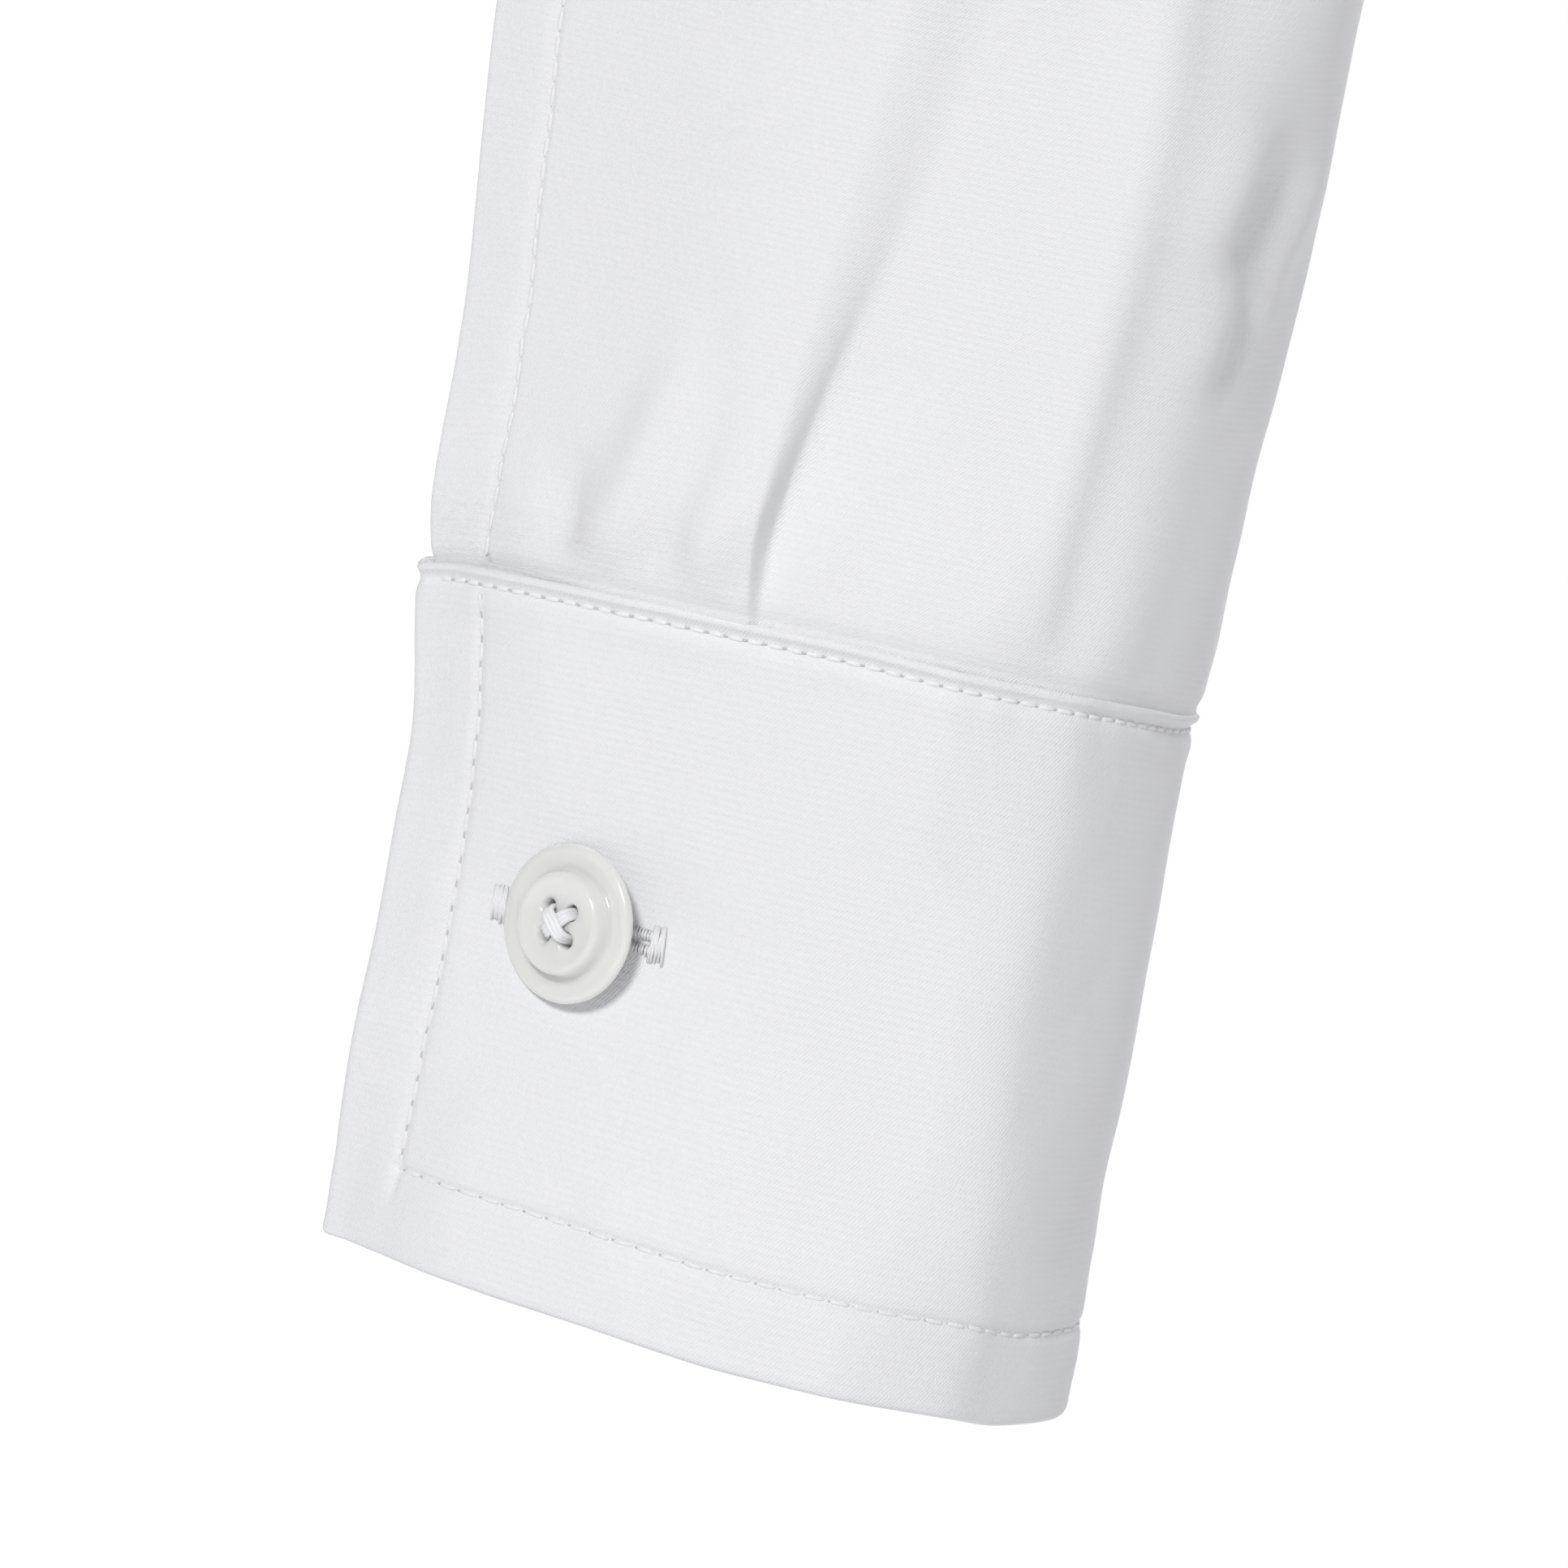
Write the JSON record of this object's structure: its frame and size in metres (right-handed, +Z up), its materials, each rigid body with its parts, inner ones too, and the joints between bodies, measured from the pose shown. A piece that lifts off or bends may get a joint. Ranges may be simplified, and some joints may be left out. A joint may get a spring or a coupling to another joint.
{
  "type": "bodysuit shirt",
  "caption": "White stretch-sateen bodysuit shirt with a collar, buttoned front, long cuffed sleeves and a snap-fastened brief, in its worn form.",
  "frame": {"origin": "midway between the high shoulder points, where the wearer's shoulders carry the shirt", "axes": "+X to the wearer's left, -Y to the front of the shirt, +Z up"},
  "size_m": [0.6428, 0.2414, 0.6986],
  "materials": {
    "sateen": "white stretch sateen, finely ribbed, soft sheen",
    "resin": "polished off-white resin",
    "snap_metal": "plain nickel"
  },
  "bodies": {
    "root": {"back": "sateen", "brief_back": "sateen", "brief_front": "sateen", "button_collar": "resin", "button_cuff_left": "resin", "button_cuff_right": "resin", "button_front_1": "resin", "button_front_2": "resin", "button_front_3": "resin", "button_front_4": "resin", "button_front_5": "resin", "button_front_6": "resin", "collar_leaf": "sateen", "collar_stand": "sateen", "cuff_left": "sateen", "cuff_right": "sateen", "front_band": "sateen", "front_left": "sateen", "front_right": "sateen", "leg_band_back_left": "sateen", "leg_band_back_right": "sateen", "leg_band_front_left": "sateen", "leg_band_front_right": "sateen", "sleeve_left": "sateen", "sleeve_right": "sateen", "snap_1": "snap_metal", "snap_2": "snap_metal", "snap_3": "snap_metal"}
  },
  "joints": []
}
